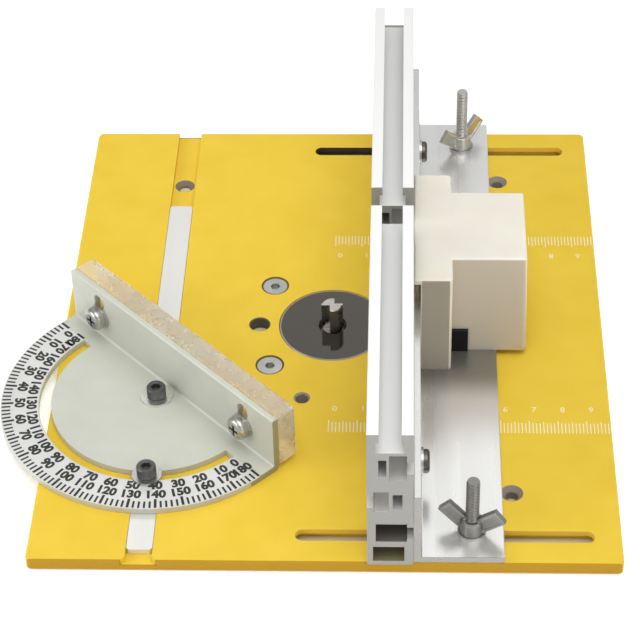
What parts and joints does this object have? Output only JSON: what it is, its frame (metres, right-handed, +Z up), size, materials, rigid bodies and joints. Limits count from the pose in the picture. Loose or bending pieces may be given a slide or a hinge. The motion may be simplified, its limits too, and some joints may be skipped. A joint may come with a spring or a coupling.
{
  "type": "router table",
  "caption": "Benchtop router table: slotted plate with insert ring and bit, angled mitre gauge in its slot, and a two-rail fence with a dust hood.",
  "frame": {"origin": "on the router bit's axis, at the underside of the table plate", "axes": "+X across the table towards the fence, +Y along the fence to the back edge, +Z up out of the work surface"},
  "size_m": [0.2725, 0.3045, 0.0812],
  "materials": {
    "yellow_plate": "satin, anodised yellow",
    "ring_plastic": "glossy",
    "zinc_screw": "bright zinc",
    "zinc_bolt": "bright zinc",
    "zinc_washer": "bright zinc",
    "zinc_wing": "cast, zinc plated",
    "bit_steel": "ground",
    "carbide": "ground",
    "bar_steel": "satin",
    "black_screw": "black oxide",
    "head_metal": "satin, pale grey-green",
    "scale_metal": "satin, engraved scale",
    "clear_acrylic": "polished, clear",
    "bracket_aluminium": "satin",
    "rail_aluminium": "satin, extruded",
    "dark_nut": "dark zinc",
    "hood_plastic": "translucent white",
    "black_plastic": "matt"
  },
  "bodies": {
    "table": {"table_plate": "yellow_plate", "insert_ring": "ring_plastic", "base_screws": "zinc_screw"},
    "bit": {"router_bit": "bit_steel", "bit_carbide_tips": "carbide"},
    "mitre_bar": {"mitre_bar": "bar_steel", "pivot_screw": "black_screw", "pivot_washer": "zinc_washer", "lock_washer": "zinc_washer"},
    "lock_screw": {"lock_screw": "black_screw"},
    "mitre_head": {"mitre_head": "head_metal", "protractor_scale": "scale_metal"},
    "face_board": {"face_board": "clear_acrylic", "face_screws": "zinc_screw", "face_washers": "zinc_washer"},
    "fence": {"fence_bracket": "bracket_aluminium", "fence_bolts": "zinc_bolt", "fence_washers": "zinc_washer", "rail_screws": "zinc_screw", "rail_washers": "zinc_washer", "rail_t_nuts": "dark_nut", "dust_hood": "hood_plastic", "hood_screws": "zinc_screw", "hood_clip": "black_plastic"},
    "wing_nut_front": {"wing_nut_front": "zinc_wing"},
    "wing_nut_rear": {"wing_nut_rear": "zinc_wing"},
    "rail_front": {"rail_front": "rail_aluminium"},
    "rail_rear": {"rail_rear": "rail_aluminium"}
  },
  "joints": [
    {"name": "bit_spin", "type": "hinge", "parent": "table", "child": "bit", "pos_m": [0, 0, 0.006], "axis": [0, 0, 1], "continuous": true},
    {"name": "mitre_bar_slide", "type": "slide", "parent": "table", "child": "mitre_bar", "axis": [0, 1, 0], "range_m": [-0.03, 0.1]},
    {"name": "mitre_head_swivel", "type": "hinge", "parent": "mitre_bar", "child": "mitre_head", "pos_m": [-0.0775, -0.053, 0.0076], "axis": [0, 0, 1], "range_deg": [-14.3, 105.7]},
    {"name": "lock_screw_turn", "type": "hinge", "parent": "mitre_bar", "child": "lock_screw", "pos_m": [-0.0775, -0.1031, 0.0076], "axis": [0, 0, 1], "range_deg": [0, 360]},
    {"name": "face_board_lift", "type": "slide", "parent": "mitre_head", "child": "face_board", "axis": [0, 0, 1], "range_m": [-0.0025, 0.008]},
    {"name": "fence_slide", "type": "slide", "parent": "table", "child": "fence", "axis": [1, 0, 0], "range_m": [-0.03, 0.048]},
    {"name": "wing_nut_front_turn", "type": "hinge", "parent": "fence", "child": "wing_nut_front", "pos_m": [0.062, -0.1345, 0.013], "axis": [0, 0, 1], "range_deg": [0, 360]},
    {"name": "wing_nut_rear_turn", "type": "hinge", "parent": "fence", "child": "wing_nut_rear", "pos_m": [0.062, 0.1345, 0.013], "axis": [0, 0, 1], "range_deg": [0, 360]},
    {"name": "rail_front_slide", "type": "slide", "parent": "fence", "child": "rail_front", "axis": [0, 1, 0], "range_m": [-0.03, 0.012]},
    {"name": "rail_rear_slide", "type": "slide", "parent": "fence", "child": "rail_rear", "axis": [0, 1, 0], "range_m": [-0.002, 0.03]}
  ]
}
